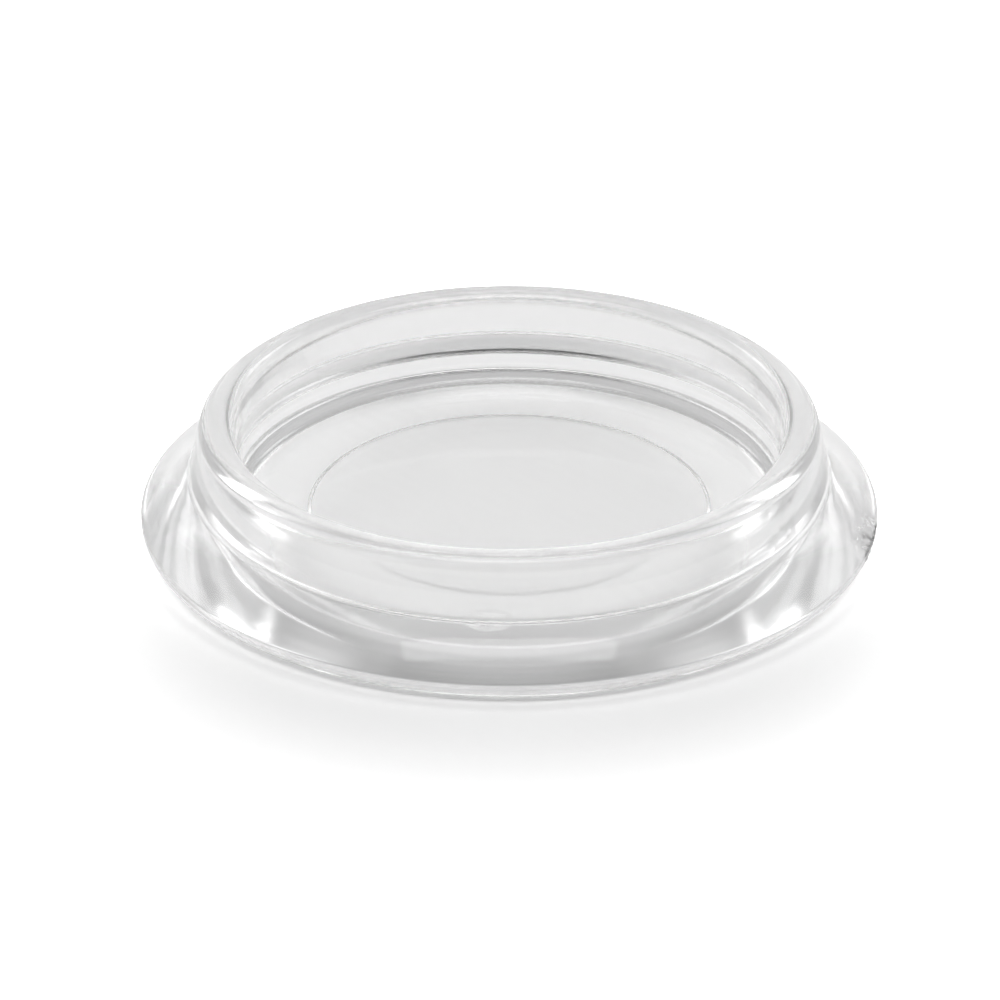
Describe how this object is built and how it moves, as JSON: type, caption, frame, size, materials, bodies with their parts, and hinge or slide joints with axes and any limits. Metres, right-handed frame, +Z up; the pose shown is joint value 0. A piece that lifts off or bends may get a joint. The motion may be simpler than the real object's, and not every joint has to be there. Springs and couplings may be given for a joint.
{
  "type": "furniture coaster",
  "caption": "Clear round cup with a rounded rim and a sloping foot flange that a furniture leg or castor stands in to spare the floor.",
  "frame": {"origin": "on the axis of the cup, at the level of the ground that its foot stands on", "axes": "+Z up along the cup's axis, out of its mouth; the gate scar lies 14 degrees from +X towards -Y"},
  "size_m": [0.06, 0.06, 0.0095],
  "materials": {
    "clear_plastic": "clear polished moulding"
  },
  "bodies": {
    "root": {"coaster_cup": "clear_plastic"}
  },
  "joints": []
}
